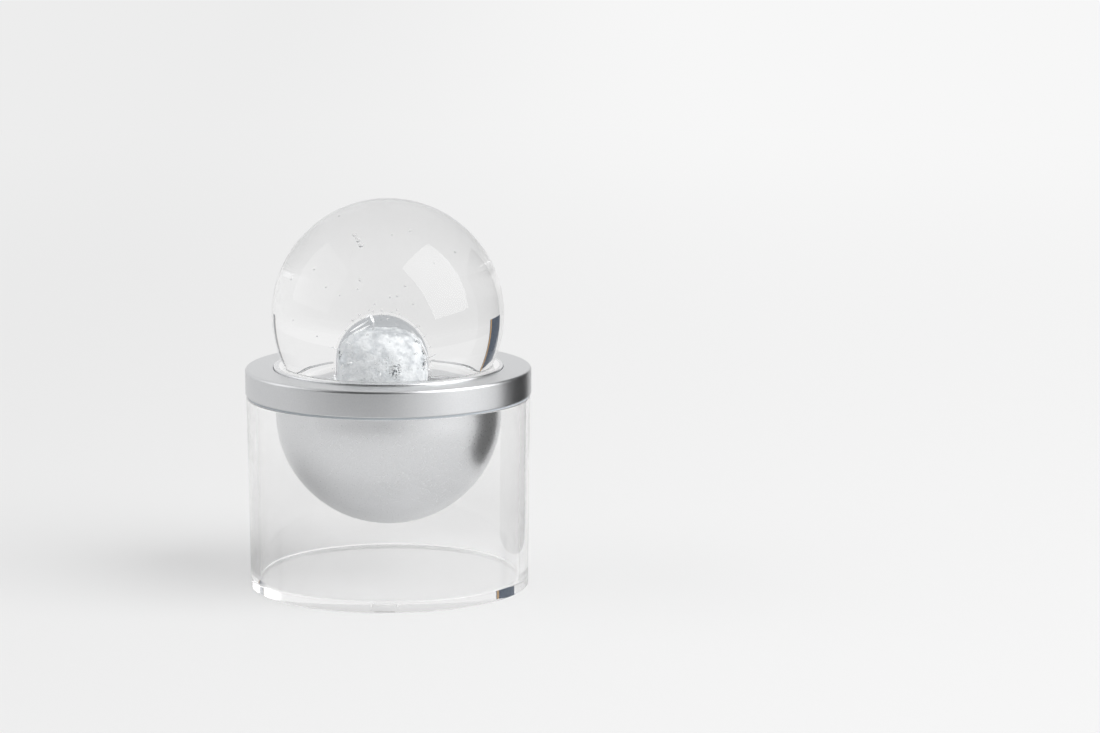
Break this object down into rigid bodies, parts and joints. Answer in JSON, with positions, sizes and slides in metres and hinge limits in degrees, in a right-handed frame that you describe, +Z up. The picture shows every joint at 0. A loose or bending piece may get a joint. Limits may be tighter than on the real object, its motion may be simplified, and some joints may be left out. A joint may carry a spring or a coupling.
{
  "type": "ice ball press",
  "caption": "Lower half of an ice ball press: a clear cup carries a metal collar and a round mould bowl, with a clear ball of ice resting on its seat.",
  "frame": {"origin": "centre of the cup's underside, on the table", "axes": "+Z up along the common axis of cup, collar, bowl and ball; -Y towards the viewer of the picture, where the small oval mark is"},
  "size_m": [0.0862, 0.0862, 0.1175],
  "materials": {
    "clear_acrylic": "polished",
    "gasket_silicone": "satin",
    "satin_aluminium": "satin",
    "clear_ice": "polished",
    "cloudy_ice": "matte"
  },
  "bodies": {
    "cup": {"cup_floor": "clear_acrylic", "cup_wall": "clear_acrylic"},
    "collar": {"collar_ring": "satin_aluminium", "collar_gasket": "gasket_silicone"},
    "bowl": {"mould_bowl": "satin_aluminium"},
    "ball": {"ice_ball": "clear_ice", "ice_core": "cloudy_ice"}
  },
  "joints": [
    {"name": "collar_lift", "type": "slide", "parent": "cup", "child": "collar", "axis": [0, 0, 1], "range_m": [0, 0.045]},
    {"name": "bowl_lift", "type": "slide", "parent": "collar", "child": "bowl", "axis": [0, 0, 1], "range_m": [0, 0.052]},
    {"name": "ball_lift", "type": "slide", "parent": "bowl", "child": "ball", "axis": [0, 0, 1], "range_m": [0, 0.03]}
  ]
}
